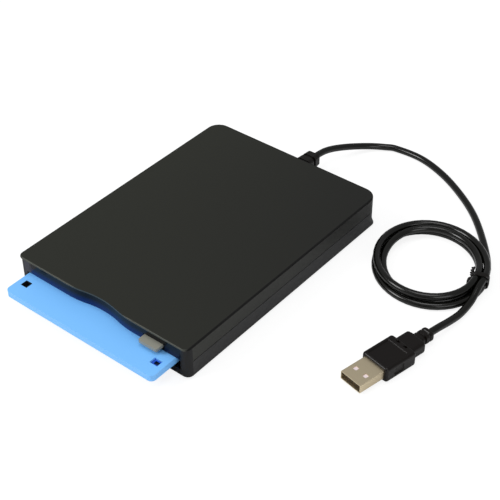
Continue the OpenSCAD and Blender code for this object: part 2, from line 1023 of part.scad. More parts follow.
module cable_gland() {
    inner = y_half - wall;
    color([0.1, 0.1, 0.1])
        difference() {
            union() {
                gland_slice(gland_flange, inner - gland_flange_t, gland_flange_t);
                translate([gland_x - gland_neck[0] / 2, inner, gland_z - gland_neck[1] / 2])
                    cube([gland_neck[0], wall, gland_neck[1]]);
                hull() {
                    gland_slice(gland_root, y_half, gland_step);
                    gland_slice(gland_tip, gland_end - gland_step, gland_step);
                }
            }
            for (y = gland_grooves)
                difference() {
                    gland_slice(2 * gland_root, y, gland_groove_w);
                    gland_slice(gland_tip - [1, 1] * gland_groove_d, y, gland_groove_w);
                }
        }
}

// Smooth curve through hand-set points, n steps between two of them
function smooth(p, n) = let (m = len(p) - 1) [for (i = [0:m - 1]) for (k = [0:n - 1])
    let (t = k / n, a = p[max(i - 1, 0)], b = p[i], c = p[i + 1], d = p[min(i + 2, m)])
    0.5 * (2 * b + (c - a) * t + (2 * a - 5 * b + 4 * c - d) * t * t + (3 * b - a - 3 * c + d) * t * t * t),
    p[m]];

function unit(v) = v / norm(v);

function headings(p) = let (m = len(p) - 1) [for (i = [0:m])
    unit(p[min(i + 1, m)] - p[max(i - 1, 0)])];

// Faces of a tube with n rings of s points and flat ends
function tube_faces(n, s) = concat([[for (j = [0:s - 1]) s - 1 - j]],
    [for (i = [0:n - 2]) for (j = [0:s - 1]) each [[i * s + j, i * s + (j + 1) % s, (i + 1) * s + j],
        [i * s + (j + 1) % s, (i + 1) * s + (j + 1) % s, (i + 1) * s + j]]],
    [[for (j = [0:s - 1]) (n - 1) * s + j]]);

// Tube along points, with its rings square to the given headings
module tube(p, h, r, s) {
    pts = [for (i = [0:len(p) - 1])
        let (side = unit(cross(h[i], [0, 0, 1])), up = cross(side, h[i]))
        for (j = [0:s - 1])
            let (a = 360 * (j + 0.5) / s) p[i] + r * (cos(a) * side + sin(a) * up)];
    polyhedron(points = pts, faces = tube_faces(len(p), s), convexity = 10);
}

module sweep(p, r, s) {
    tube(p, headings(p), r, s);
}

function lift(a) = coil_lift * pow(max(0, cos(a - coil_start)), lift_power_share);

function turned(v) = [v[0] * cos(coil_turn) - v[1] * sin(coil_turn),
    v[0] * sin(coil_turn) + v[1] * cos(coil_turn), v[2]];

// Point on the coil after t loops
function coil_point(t) =
    let (a = coil_start - 360 * t, m = coil_pitch * min(t, loops - t),
        u = min(1, max(0, (t - (loops / 2 - climb_share / 2)) / climb_share)))
    turned([(coil_size[0] - m) * cos(a), (coil_size[1] - m) * sin(a),
        coil_low + coil_pitch * (3 * u * u - 2 * u * u * u) + lift(a)]) + [coil_at[0], coil_at[1], 0];

coil_points = [for (i = [0:loops * coil_rings]) coil_point(i / coil_rings)];
coil_end_dir = unit(turned([coil_size[0] * sin(coil_start), -coil_size[1] * cos(coil_start), 0]));

// The least gap between two loops of the coil
gap_step_share = 0.5;
coil_gap = min([for (i = [0:len(coil_points) - 1])
    for (j = [i + coil_rings * gap_step_share:1:len(coil_points) - 1])
        norm(coil_points[i] - coil_points[j])]) - cord_d;
echo(least_gap_of_the_coil = coil_gap);

function with_ends(p, first, last) = let (h = headings(p), m = len(p) - 1)
    [for (i = [0:m]) i == 0 ? first : i == m ? last : h[i]];

plug_dir = [sin(plug_turn), -cos(plug_turn), 0];
lead_points = smooth(concat(lead_out, [coil_points[0]]), 2);
tail_points = smooth(concat([coil_points[loops * coil_rings]], tail_route, [plug_at]), 2);

module inner_lead() {
    p = smooth(lead_in, 2);
    color([0.12, 0.12, 0.12])
        tube(p, with_ends(p, [-1, 0, 0], [0, 1, 0]), cord_d / 2, tube_sides);
}

module cord_lead() {
    color([0.11, 0.11, 0.1])
        tube(lead_points, with_ends(lead_points, [0, 1, 0], coil_end_dir), cord_d / 2, tube_sides);
}

module cord_coil() {
    color([0.11, 0.11, 0.1])
        tube(coil_points, with_ends(coil_points, coil_end_dir, coil_end_dir), cord_d / 2, coil_sides);
}

module cord_tail() {
    color([0.11, 0.11, 0.1])
        tube(tail_points, with_ends(tail_points, coil_end_dir, plug_dir), cord_d / 2, tube_sides);
}

module twist_tie() {
    half = coil_pitch / 2 + cord_d / 2 + tie_gap;
    mid = coil_low + coil_lift + coil_pitch / 2;
    turn = atan2(coil_end_dir[1], coil_end_dir[0]) + 90;
    c = coil_points[0];
    color([0.07, 0.07, 0.07])
        translate([c[0], c[1], 0])
            rotate([0, 0, turn]) {
                translate([-coil_pitch / 2, tie_l / 2, mid])
                    rotate([90, 0, 0])
                        linear_extrude(tie_l)
                            difference() {
                                rounded(2 * (half + tie_t), 2 * (half + tie_t), cord_d / 2 + tie_t);
                                rounded(2 * half, 2 * half, cord_d / 2);
                            }
                sweep([for (p = tie_tail) p - [coil_pitch / 2, 0, 0]], tie_tail_r, coil_sides);
                sweep([for (p = tie_tail_low) p - [coil_pitch / 2, 0, 0]], tie_tail_r, coil_sides);
            }
}

// Places what follows at the plug, which runs along -Y from its neck
module at_plug() {
    translate(plug_at)
        rotate([0, 0, plug_turn])
            children();
}

module plug_slice(w, h, r, y) {
    translate([0, -y[0], 0])
        rotate([90, 0, 0])
            linear_extrude(y[1] - y[0])
                rounded(w, h, r);
}

module plug_overmould() {
    grip = [neck_l + mid_l, neck_l + mid_l + grip_l];
    color([0.12, 0.12, 0.13])
        at_plug()
            difference() {
                union() {
                    plug_slice(neck_w, neck_h, neck_r, [0, neck_l]);
                    plug_slice(mid_w, mid_h, mid_r, [neck_l, neck_l + mid_l]);
                    plug_slice(grip_w, grip_h, grip_r, grip);
                }
                for (y = neck_grooves)
                    difference() {
                        plug_slice(2 * neck_w, 2 * neck_h, grip_r, [y, y + neck_groove_w]);
                        plug_slice(neck_w - 2 * neck_groove_d, neck_h - 2 * neck_groove_d, grip_r,
                            [y, y + neck_groove_w]);
                    }
                block([-panel_w / 2, panel_w / 2], [-panel_y[1], -panel_y[0]],
                    [grip_h / 2 - panel_d, grip_h]);
                both_sides() {
                    block([grip_w / 2 - side_d, grip_w], [-side_y[1], -side_y[0]],
                        [-side_h / 2, side_h / 2]);
                    block([notch_at[0] - notch_size[0] / 2, notch_at[0] + notch_size[0] / 2],
                        [-notch_at[1] - notch_size[1] / 2, -notch_at[1] + notch_size[1] / 2],
                        [grip_h / 2 - panel_d, grip_h]);
                }
                plug_slice(shell_w, shell_h, shell_wall, [grip[1] - shell_in, grip[1] + touch]);
            }
}

module plug_shell() {
    grip_end = neck_l + mid_l + grip_l;
    y = [grip_end - shell_in, grip_end + shell_l];
    color([0.72, 0.69, 0.6])
        at_plug()
            difference() {
                plug_slice(shell_w, shell_h, shell_wall, y);
                block([-shell_w / 2 + shell_wall, shell_w / 2 - shell_wall],
                    [-y[1] - touch, -y[0] - shell_wall],
                    [-shell_h / 2 + shell_wall, shell_h / 2 - shell_wall]);
                for (sx = [-1, 1])
                    block([sx * shell_hole_x - shell_hole / 2, sx * shell_hole_x + shell_hole / 2],
                        [-grip_end - shell_hole_y, -grip_end - shell_hole_y + shell_hole],
                        [-shell_h, shell_h]);
            }
}

module plug_tongue() {
    grip_end = neck_l + mid_l + grip_l;
    top = shell_h / 2 - shell_wall;
    color([0.08, 0.08, 0.08])
        at_plug()
            block([-tongue_w / 2, tongue_w / 2],
                [-grip_end - shell_l + tongue_back, -grip_end + shell_in - shell_wall], [top - tongue_h, top]);
}

module plug_contacts() {
    grip_end = neck_l + mid_l + grip_l;
    z = shell_h / 2 - shell_wall - tongue_h;
    start = -grip_end - shell_l + 2 * tongue_back;
    color([0.85, 0.7, 0.35])
        at_plug()
            for (x = contact_xs)
                block([x - contact_w / 2, x + contact_w / 2], [start, start + contact_l], [z - contact_t, z]);
}

top_cover();
bottom_cover();
front_bezel();
lamp_pipe();
feet();
case_screws();
chassis();
top_shield();
eject_button();
slider_plate();
return_springs();
disk_carrier();
shutter_lever();
motor_board();
motor_stator();
spindle_bearing();
spindle_rotor();
head_carriage();
lower_head();
upper_arm();
upper_head();
guide_rod();
rod_clips();
lead_screw();
screw_bracket();
stepper_motor();
motor_bracket();
main_board();
board_chips();
cord_socket();
sensor_switches();
disk_lower_shell();
disk_upper_shell();
disk_shutter();
shutter_spring();
magnetic_disc();
disk_hub();
disk_liners();
write_tab();
cable_gland();
inner_lead();
cord_lead();
cord_coil();
cord_tail();
twist_tie();
plug_overmould();
plug_shell();
plug_tongue();
plug_contacts();
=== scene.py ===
"""External floppy drive with a half-ejected disk, a coiled cord and a flat plug.

Sizes and places are in millimetres in the part's frame, and MM turns them into metres.
"""
import json
import math

import bmesh
import bpy
from mathutils import Matrix, Vector


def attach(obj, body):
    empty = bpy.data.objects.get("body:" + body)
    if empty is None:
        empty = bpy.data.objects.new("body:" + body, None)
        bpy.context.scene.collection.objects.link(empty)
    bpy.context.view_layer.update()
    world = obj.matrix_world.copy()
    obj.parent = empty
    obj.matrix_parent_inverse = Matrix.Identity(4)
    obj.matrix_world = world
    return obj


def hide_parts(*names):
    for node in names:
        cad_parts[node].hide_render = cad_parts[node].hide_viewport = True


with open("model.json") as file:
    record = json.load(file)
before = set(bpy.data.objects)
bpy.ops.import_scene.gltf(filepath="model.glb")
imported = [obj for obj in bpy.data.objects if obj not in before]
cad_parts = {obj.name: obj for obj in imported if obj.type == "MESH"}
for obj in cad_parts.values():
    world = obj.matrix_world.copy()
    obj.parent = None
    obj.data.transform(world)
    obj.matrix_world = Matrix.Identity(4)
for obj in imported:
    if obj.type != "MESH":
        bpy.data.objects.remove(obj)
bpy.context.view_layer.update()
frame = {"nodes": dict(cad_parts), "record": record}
scene = bpy.context.scene
MM = 0.001

# Camera, fitted to the photo on the sizes of the disk and of the plug's shell
FOCAL_PX = 1244.5
PHOTO_PX = 500
SENSOR = 36.0
# Near and far clip distances in metres
CLIP = (0.01, 20)
YAW, PITCH, ROLL = (math.radians(a) for a in (39.31, 39.16, -0.48))
CAMERA_AT = Vector((310.8, -345.0, 378.9)) * MM


def make_camera():
    forward = Vector((-math.sin(YAW) * math.cos(PITCH), math.cos(YAW) * math.cos(PITCH),
                      -math.sin(PITCH)))
    right = Vector((math.cos(YAW), math.sin(YAW), 0))
    up = right.cross(forward)
    side = math.cos(ROLL) * right + math.sin(ROLL) * up
    top = -math.sin(ROLL) * right + math.cos(ROLL) * up
    data = bpy.data.cameras.new("camera")
    data.sensor_width = SENSOR
    data.lens = FOCAL_PX / PHOTO_PX * SENSOR
    data.clip_start, data.clip_end = CLIP
    camera = bpy.data.objects.new("camera", data)
    rows = Matrix((side, top, -forward)).transposed().to_4x4()
    rows.translation = CAMERA_AT
    camera.matrix_world = rows
    scene.collection.objects.link(camera)
    scene.camera = camera


make_camera()

# Cord, on the route of the solids. Its coil is wound a little tighter, after the photo.
CORD_D = 3.5
LEAD = [(1.5, 85.2, 9.3), (1.6, 90, 9.2), (2.2, 96, 8.5), (4, 103, 7), (7.5, 112, 4.6),
        (13, 120.5, 2.6), (19, 125.5, 1.9), (25, 128.2, 1.8), (40, 128.6, 1.8), (56, 123.6, 1.8),
        (72, 114.8, 1.8), (87, 103.6, 1.8), (101, 89, 1.8), (112, 74.5, 2.1)]
TAIL = [(119, 54, 5.2), (120.1, 46, 2.9), (120.3, 37, 2.0), (119.6, 29, 2.7), (118.5, 21.5, 3.7)]
PLUG_AT = (117.4, 15.7, 3.9)
COIL_AT = Vector((91.0, 56.6, 0))
COIL_SIZE = (26.9, 29.2)
COIL_TURN = Matrix.Rotation(math.radians(42), 3, "Z")
COIL_START = math.radians(-32)
COIL_PITCH = 3.62
COIL_LOW = 1.8
LOOPS = 3
# The loops rise a layer over this share of a turn, halfway through
COIL_CLIMB = 0.5
# At its start each loop rises by this much, the more suddenly the higher the power
COIL_LIFT = 0.85
COIL_LIFT_POWER = 24
COIL_STEPS = 48
SMOOTH_STEPS = 10
CORD_ROUNDNESS = 8


def coil_point(t):
    """The cord's centre after t loops: in and out again, and up a layer halfway."""
    a = COIL_START - 2 * math.pi * t
    inward = COIL_PITCH * min(t, LOOPS - t)
    u = min(1, max(0, (t - LOOPS / 2) / COIL_CLIMB + 0.5))
    lift = COIL_LIFT * max(0, math.cos(a - COIL_START)) ** COIL_LIFT_POWER
    return COIL_AT + COIL_TURN @ Vector((
        (COIL_SIZE[0] - inward) * math.cos(a), (COIL_SIZE[1] - inward) * math.sin(a),
        COIL_LOW + COIL_PITCH * (3 * u * u - 2 * u ** 3) + lift))


def smooth(points, n):
    """A Catmull-Rom curve through the points, n steps between two of them."""
    p = [Vector(q) for q in points]
    out = []
    for i in range(len(p) - 1):
        a, b, c, d = p[max(i - 1, 0)], p[i], p[i + 1], p[min(i + 2, len(p) - 1)]
        for k in range(n):
            t = k / n
            out.append(0.5 * (2 * b + (c - a) * t + (2 * a - 5 * b + 4 * c - d) * t * t
                              + (3 * b - a - 3 * c + d) * t ** 3))
    return out + [p[-1]]


def tube(name, points, diameter, roundness=CORD_ROUNDNESS):
    """A round tube along the points, as a mesh; roundness is the number of facets in a quarter."""
    curve = bpy.data.curves.new(name, "CURVE")
    curve.dimensions = "3D"
    curve.bevel_depth = diameter / 2 * MM
    curve.bevel_resolution = roundness
    curve.use_fill_caps = True
    line = curve.splines.new("POLY")
    line.points.add(len(points) - 1)
    for q, p in zip(line.points, points):
        q.co = (p[0] * MM, p[1] * MM, p[2] * MM, 1)
    line.use_smooth = True
    guide = bpy.data.objects.new(name + " guide", curve)
    scene.collection.objects.link(guide)
    depsgraph = bpy.context.evaluated_depsgraph_get()
    skin = bpy.data.meshes.new_from_object(guide.evaluated_get(depsgraph))
    bpy.data.objects.remove(guide)
    made = bpy.data.objects.new(name, skin)
    scene.collection.objects.link(made)
    return made


coil = [coil_point(i / COIL_STEPS) for i in range(LOOPS * COIL_STEPS + 1)]
cord_line = (smooth(LEAD + [tuple(coil[0])], SMOOTH_STEPS)[:-1] + coil
             + smooth([tuple(coil[-1])] + TAIL + [PLUG_AT], SMOOTH_STEPS)[1:])
cord = tube("cord", cord_line, CORD_D)
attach(cord, "housing")
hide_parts("cord_lead", "cord_coil", "cord_tail")

# Plug body
PLUG_TURN = Matrix.Rotation(math.radians(-11.7), 3, "Z")
# Parts of the body: the end's distance from the cord, half width, half height, corner radius
NECK = (8, 3.2, 2.6, 1.8)
MIDDLE = (16, 5.7, 3.2, 1.8)
GRIP = (34, 7.7, 3.9, 1.4)
# The metal shell's end inside the body
SHELL = (28, 6.0, 2.25, 0.3)
ROUND = 1.3
ROUND_STEPS = 8
# Grooves round the neck: their middles, then their half width, depth and sloping edge
GROOVES = (2.9, 5.5)
GROOVE_HALF, GROOVE_DEPTH, GROOVE_EDGE = 0.5, 0.5, 0.15
# Dents: limits across, limits along and depth; their edges slope over DENT_EDGE
PANEL = ((-6, 6), (19.6, 32.4), 0.5)
NOTCHES = (((-3.1, -1.3), (17.0, 18.2), 1.0), ((1.3, 3.1), (17.0, 18.2), 1.0))
SIDE_PANEL = ((-2.1, 2.1), (23.4, 29), 0.5)
DENT_EDGE = 0.3
# Faces nearer to the top or side than this are dented
DENT_REACH = 0.02
STATION = 0.3
SIDE_STEPS, END_STEPS, CORNER_STEPS = 40, 14, 6
SHARP = math.radians(50)


def inside(value, limits, soft=DENT_EDGE):
    """1 within the limits, falling to 0 over the soft stretch inside them."""
    return max(0.0, min(1.0, (value - limits[0]) / soft, (limits[1] - value) / soft))


def section(half_w, half_h, radius):
    """Points of a rounded rectangle, the same number on each side and corner for every size."""
    r = min(radius, half_w, half_h)
    out = []
    for quarter, steps in enumerate((END_STEPS, SIDE_STEPS, END_STEPS, SIDE_STEPS)):
        turn = quarter * math.pi / 2
        cx = (half_w - r) * (1 if quarter in (0, 3) else -1)
        cz = (half_h - r) * (1 if quarter in (0, 1) else -1)
        arc = [(cx + r * math.cos(turn + math.pi / 2 * k / CORNER_STEPS),
                cz + r * math.sin(turn + math.pi / 2 * k / CORNER_STEPS))
               for k in range(CORNER_STEPS + 1)]
        if out:
            out += between(out[-1], arc[0], steps)
        out += arc
    return out + between(out[-1], out[0], END_STEPS)


def between(a, b, steps):
    return [tuple(p + (q - p) * k / steps for p, q in zip(a, b)) for k in range(1, steps)]


def plug_stations():
    """Sections from the cord to the front, then back into the socket of the metal shell."""
    out = []
    start, before = 0.0, None
    for end, half_w, half_h, radius in (NECK, MIDDLE, GRIP):
        for k in range(1, ROUND_STEPS):
            a = math.pi / 2 * k / ROUND_STEPS
            inset = ROUND * (1 - math.sin(a))
            w, h = half_w - inset, half_h - inset
            if before:
                w, h = max(w, before[0]), max(h, before[1])
            out.append((start + ROUND * (1 - math.cos(a)), w, h, radius))
        last = end - (ROUND if end == GRIP[0] else 0)
        count = int((last - start - ROUND) / STATION)
        for k in range(count + 1):
            d = start + ROUND + (last - start - ROUND) * k / count
            groove = GROOVE_DEPTH * max(
                inside(d, (g - GROOVE_HALF, g + GROOVE_HALF), GROOVE_EDGE) for g in GROOVES)
            out.append((d, half_w - groove, half_h - groove, radius))
        start, before = end, (half_w, half_h)
    for k in range(1, ROUND_STEPS + 1):
        a = math.pi / 2 * k / ROUND_STEPS
        inset = ROUND * (1 - math.cos(a))
        out.append((GRIP[0] - ROUND + ROUND * math.sin(a), GRIP[1] - inset, GRIP[2] - inset,
                    GRIP[3]))
    return out + [(GRIP[0], *SHELL[1:]), SHELL]


def dented(x, z, d, half_w, half_h):
    """Sinks the thumb panel, the two notches and the panels in the sides."""
    if z > half_h - DENT_REACH:
        z -= max(inside(x, dent[0]) * inside(d, dent[1]) * dent[2] for dent in (PANEL, *NOTCHES))
    if abs(x) > half_w - DENT_REACH:
        x -= math.copysign(inside(z, SIDE_PANEL[0]) * inside(d, SIDE_PANEL[1]) * SIDE_PANEL[2], x)
    return x, z


def bridge(mesh, one, two):
    """A band of faces between two rings of the same number of points."""
    for k in range(len(one)):
        mesh.faces.new((one[k - 1], one[k], two[k], two[k - 1]))


def finished(mesh, name):
    """The bmesh as a smooth object with its sharp edges kept."""
    bmesh.ops.recalc_face_normals(mesh, faces=mesh.faces)
    data = bpy.data.meshes.new(name)
    mesh.to_mesh(data)
    mesh.free()
    data.shade_smooth()
    data.set_sharp_from_angle(angle=SHARP)
    made = bpy.data.objects.new(name, data)
    scene.collection.objects.link(made)
    return made


def make_plug_body():
    mesh = bmesh.new()
    rings = []
    for d, half_w, half_h, radius in plug_stations():
        ring = []
        for x, z in section(half_w, half_h, radius):
            if d < GRIP[0] - ROUND:
                x, z = dented(x, z, d, half_w, half_h)
            ring.append(mesh.verts.new((Vector(PLUG_AT) + PLUG_TURN @ Vector((x, -d, z))) * MM))
        rings.append(ring)
    for one, two in zip(rings, rings[1:]):
        bridge(mesh, one, two)
    mesh.faces.new(reversed(rings[0]))
    mesh.faces.new(rings[-1])
    return finished(mesh, "plug_body")


plug_body = make_plug_body()
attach(plug_body, "housing")
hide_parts("plug_overmould")

# Twist tie
TIE_WIDTH, TIE_THICK, TIE_GAP = 2.6, 0.5, 0.1
# The share of the band's width that its outer side has
TIE_OUTER_SHARE = 0.7
TIE_HALF = COIL_PITCH / 2 + CORD_D / 2 + TIE_GAP
TIE_AT = Vector((-COIL_PITCH / 2, 0, COIL_LOW + COIL_LIFT + COIL_PITCH / 2))
TIE_WIRE = 1.0
TIE_ROUNDNESS = 3
# The two ends, each of two wires twisted together, from the band's inner side
TIE_ENDS = ([(-3.7, 0.3, 0.8), (-4.5, 1.2, 1.4), (-4.7, 3.0, 2.0), (-4.6, 4.8, 2.5)],
            [(-3.7, -0.3, 0.2), (-4.7, -0.7, 0.0), (-5.0, -1.6, -0.5), (-4.9, -2.4, -1.2)])
TIE_END_STEPS = 12
TIE_TWIST_R = 0.42
TIE_TWIST_FLAT = 0.3
TIE_TWISTS = 2.2


def tie_strand(points, phase):
    """One of the two wires that are twisted round each other along the points."""
    line = smooth(points, TIE_END_STEPS)
    out = []
    for i, p in enumerate(line):
        a = phase + 2 * math.pi * TIE_TWISTS * i / (len(line) - 1)
        out.append(p + TIE_TWIST_R * Vector((math.cos(a), TIE_TWIST_FLAT * math.sin(a),
                                             math.sin(a))))
    return out


def make_tie():
    heading = coil[-1] - coil[-2]
    turn = Matrix.Rotation(math.atan2(heading.y, heading.x) + math.pi / 2, 3, "Z")
    start = Vector((coil[0].x, coil[0].y, 0))

    def placed(point):
        return start + turn @ (TIE_AT + point)

    mesh = bmesh.new()
    rings = []
    outer, outer_y = TIE_HALF + TIE_THICK, TIE_OUTER_SHARE * TIE_WIDTH / 2
    for half, y in ((TIE_HALF, TIE_WIDTH / 2), (outer, outer_y),
                    (outer, -outer_y), (TIE_HALF, -TIE_WIDTH / 2)):
        ring = section(half, half, CORD_D / 2 + half - TIE_HALF)
        rings.append([mesh.verts.new(placed(Vector((x, y, z))) * MM) for x, z in ring])
    for one, two in zip(rings, rings[1:] + rings[:1]):
        bridge(mesh, one, two)
    for points in TIE_ENDS:
        for phase in (0, math.pi):
            line = [placed(p) for p in tie_strand(points, phase)]
            strand = tube("strand", line, TIE_WIRE, TIE_ROUNDNESS)
            mesh.from_mesh(strand.data)
            bpy.data.objects.remove(strand)
    return finished(mesh, "tie")


tie = make_tie()
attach(tie, "housing")
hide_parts("twist_tie")

# Materials
COAT_ROUGH = 0.08
GRAIN_DETAIL = 3
GRAIN_STRENGTH = 0.6
LEAST_ROUGH = 0.03
# Cells of the grain per metre
GRAIN_SCALE = 900.0
PAINT_EDGE = 0.08
LOOKS = {}


def material(name, colour, rough, metal=0.0, coat=0.0, bump=0.0, scale=GRAIN_SCALE, spread=0.0,
             specular=0.5):
    """Adds a look; bump is the depth of its grain and spread how far its roughness varies."""
    made = bpy.data.materials.new(name)
    made.use_nodes = True
    nodes, links = made.node_tree.nodes, made.node_tree.links
    shader = nodes["Principled BSDF"]
    shader.inputs["Base Color"].default_value = (*colour, 1)
    shader.inputs["Roughness"].default_value = rough
    shader.inputs["Metallic"].default_value = metal
    shader.inputs["Coat Weight"].default_value = coat
    shader.inputs["Coat Roughness"].default_value = COAT_ROUGH
    shader.inputs["Specular IOR Level"].default_value = specular
    if bump or spread:
        place = nodes.new("ShaderNodeTexCoord")
        noise = nodes.new("ShaderNodeTexNoise")
        noise.inputs["Scale"].default_value = scale
        noise.inputs["Detail"].default_value = GRAIN_DETAIL
        links.new(place.outputs["Object"], noise.inputs["Vector"])
    if bump:
        relief = nodes.new("ShaderNodeBump")
        relief.inputs["Distance"].default_value = bump * MM
        relief.inputs["Strength"].default_value = GRAIN_STRENGTH
        links.new(noise.outputs["Fac"], relief.inputs["Height"])
        links.new(relief.outputs["Normal"], shader.inputs["Normal"])
    if spread:
        ramp = nodes.new("ShaderNodeMapRange")
        ramp.inputs["To Min"].default_value = max(LEAST_ROUGH, rough - spread)
        ramp.inputs["To Max"].default_value = min(1, rough + spread)
        links.new(noise.outputs["Fac"], ramp.inputs["Value"])
        links.new(ramp.outputs["Result"], shader.inputs["Roughness"])
    LOOKS[name] = made


material("cover_black", (0.0095, 0.0105, 0.0055), 0.5, bump=0.03, spread=0.05, specular=0.42)
material("base_black", (0.01, 0.01, 0.0105), 0.5, bump=0.03, spread=0.05, specular=0.42)
material("gloss_black", (0.001, 0.001, 0.002), 0.2, specular=0.12)
material("lamp_green", (0.02, 0.03, 0.02), 0.2, coat=0.5)
material("foot_rubber", (0.012, 0.012, 0.012), 0.8, bump=0.05)
material("steel", (0.55, 0.56, 0.58), 0.32, metal=1, spread=0.08, scale=400)
material("dark_steel", (0.06, 0.06, 0.065), 0.35, metal=0.6)
material("button_grey", (0.26, 0.26, 0.22), 0.42, bump=0.02)
material("inner_white", (0.62, 0.62, 0.57), 0.4)
material("inner_black", (0.014, 0.014, 0.015), 0.45)
material("board_green", (0.012, 0.085, 0.035), 0.4, coat=0.3)
material("copper", (0.6, 0.28, 0.12), 0.3, metal=1)
material("bronze", (0.55, 0.4, 0.18), 0.35, metal=1)
material("ceramic", (0.7, 0.7, 0.66), 0.2)
material("disk_blue", (0.19, 0.515, 1.0), 0.42, bump=0.015, spread=0.04)
material("shutter_metal", (0.6, 0.61, 0.63), 0.3, metal=1, spread=0.08)
material("media_brown", (0.03, 0.018, 0.014), 0.12)
material("liner_white", (0.75, 0.75, 0.73), 0.9, bump=0.05)
material("cord_rubber", (0.0018, 0.0018, 0.001), 0.2, specular=0.4)
material("plug_black", (0.0032, 0.0018, 0.0012), 0.34, bump=0.02, specular=0.26)
material("plug_nickel", (0.7, 0.6, 0.42), 0.42, metal=1)
material("gold", (0.6, 0.44, 0.2), 0.35, metal=1)
material("tab_blue", (0.015, 0.1, 0.6), 0.45)
material("tongue", (0.07, 0.055, 0.035), 0.5)

# Nodes that don't wear the look of their slot
OWN_LOOKS = {"write_tab": "tab_blue", "plug_tongue": "tongue", "cable_gland": "plug_black"}
slot_of = {s["node"]: s["material_slot"] for s in frame["record"]["subparts"]}


class Painter:
    """Lays colours and roughness over a material where masks in object space are 1."""

    def __init__(self, look):
        self.tree = look.node_tree
        self.shader = self.tree.nodes["Principled BSDF"]
        place = self.tree.nodes.new("ShaderNodeTexCoord")
        split = self.tree.nodes.new("ShaderNodeSeparateXYZ")
        self.tree.links.new(place.outputs["Object"], split.inputs[0])
        self.axes = split.outputs

    def ramp(self, axis, low, high):
        """From 0 at low to 1 at high along the axis; low may be the greater of the two."""
        node = self.tree.nodes.new("ShaderNodeMapRange")
        self.tree.links.new(self.axes[axis], node.inputs["Value"])
        node.inputs["From Min"].default_value = low * MM
        node.inputs["From Max"].default_value = high * MM
        return node.outputs["Result"]

    def all_of(self, *masks):
        out = masks[0]
        for mask in masks[1:]:
            node = self.tree.nodes.new("ShaderNodeMath")
            node.operation = "MULTIPLY"
            self.tree.links.new(out, node.inputs[0])
            self.tree.links.new(mask, node.inputs[1])
            out = node.outputs[0]
        return out

    def box(self, x, y, z, edge=PAINT_EDGE):
        """1 inside the box, falling to 0 over the edge outside it; None leaves a side open."""
        masks = []
        for axis, limits in zip("XYZ", (x, y, z)):
            if limits is None:
                continue
            if limits[0] is not None:
                masks.append(self.ramp(axis, limits[0] - edge, limits[0]))
            if limits[1] is not None:
                masks.append(self.ramp(axis, limits[1] + edge, limits[1]))
        return self.all_of(*masks)

    def paint(self, mask, colour, rough=None):
        base = self.shader.inputs["Base Color"]
        mix = self.tree.nodes.new("ShaderNodeMixRGB")
        if base.is_linked:
            self.tree.links.new(base.links[0].from_socket, mix.inputs["Color1"])
        else:
            mix.inputs["Color1"].default_value = tuple(base.default_value)
        mix.inputs["Color2"].default_value = (*colour, 1)
        self.tree.links.new(mask, mix.inputs["Fac"])
        self.tree.links.new(mix.outputs[0], base)
        if rough is None:
            return
        socket = self.shader.inputs["Roughness"]
        mix = self.tree.nodes.new("ShaderNodeMapRange")
        if socket.is_linked:
            self.tree.links.new(socket.links[0].from_socket, mix.inputs["To Min"])
        else:
            mix.inputs["To Min"].default_value = socket.default_value
        mix.inputs["To Max"].default_value = rough
        self.tree.links.new(mask, mix.inputs["Value"])
        self.tree.links.new(mix.outputs["Result"], socket)


# Painted shade makes the covers darker towards the back right. A painted highlight runs as a
# light line along the front lip, and painted shade as a dark line along the other top edges.
SHADE_X, SHADE_Y = (-52, 52), (-140, 71)
SHADE_COLOUR = (0.002, 0.0022, 0.0008)
LIP_HIGHLIGHT = ((-50.2, 50.2), (None, -66), (16.7, 17.5))
LIP_HIGHLIGHT_EDGE = 0.1
LIP_HIGHLIGHT_COLOUR, LIP_HIGHLIGHT_ROUGH = (0.035, 0.038, 0.028), 0.5
RIM_SHADE_Z = (16.95, None)
SHADED_RIMS = (((50.85, None), None), ((None, -50.85), None), (None, (70.35, None)))
RIM_SHADE_EDGE = 0.25
RIM_SHADE_COLOUR, RIM_SHADE_ROUGH = (0.001, 0.001, 0.0008), 1.0


def paint_covers():
    painter = Painter(LOOKS["cover_black"])
    # Painted shade, darker towards the back right
    shade = painter.all_of(painter.ramp("X", *SHADE_X), painter.ramp("Y", *SHADE_Y))
    painter.paint(shade, SHADE_COLOUR)
    # Painted highlight along the front lip
    painter.paint(painter.box(*LIP_HIGHLIGHT, edge=LIP_HIGHLIGHT_EDGE), LIP_HIGHLIGHT_COLOUR, LIP_HIGHLIGHT_ROUGH)
    # Painted shade as a dark line along the other edges of the top
    for x, y in SHADED_RIMS:
        painter.paint(painter.box(x, y, RIM_SHADE_Z, edge=RIM_SHADE_EDGE), RIM_SHADE_COLOUR, RIM_SHADE_ROUGH)


# Painted reflection: the disk's blue on the glossy front above the slot, on each side of the
# button
SLOT_TOP = 9.2
# Limits across, heights where the blue ends and where it is full, edge and colour
DISK_BLUE_REFLECTIONS = (
    ((-43.5, 25.5), (13.8, 9.6), 2, (0.0, 0.02, 0.13)),
    ((39, 46), (13.5, 9.8), 1.5, (0.001, 0.003, 0.03)),
)
# Painted reflection makes the left end of the front a dull grey above the slot, and the
# corners look like the covers
GREY_REFLECTION = ((None, -45.5), None, (9.4, None))
GREY_REFLECTION_EDGE = 2
GREY_REFLECTION_COLOUR, GREY_REFLECTION_ROUGH = (0.045, 0.045, 0.055), 0.5
CORNERS = ((48, None), (None, -49.2))
CORNER_EDGE = 1.2
CORNER_COLOUR, CORNER_ROUGH = (0.017, 0.017, 0.0175), 0.5


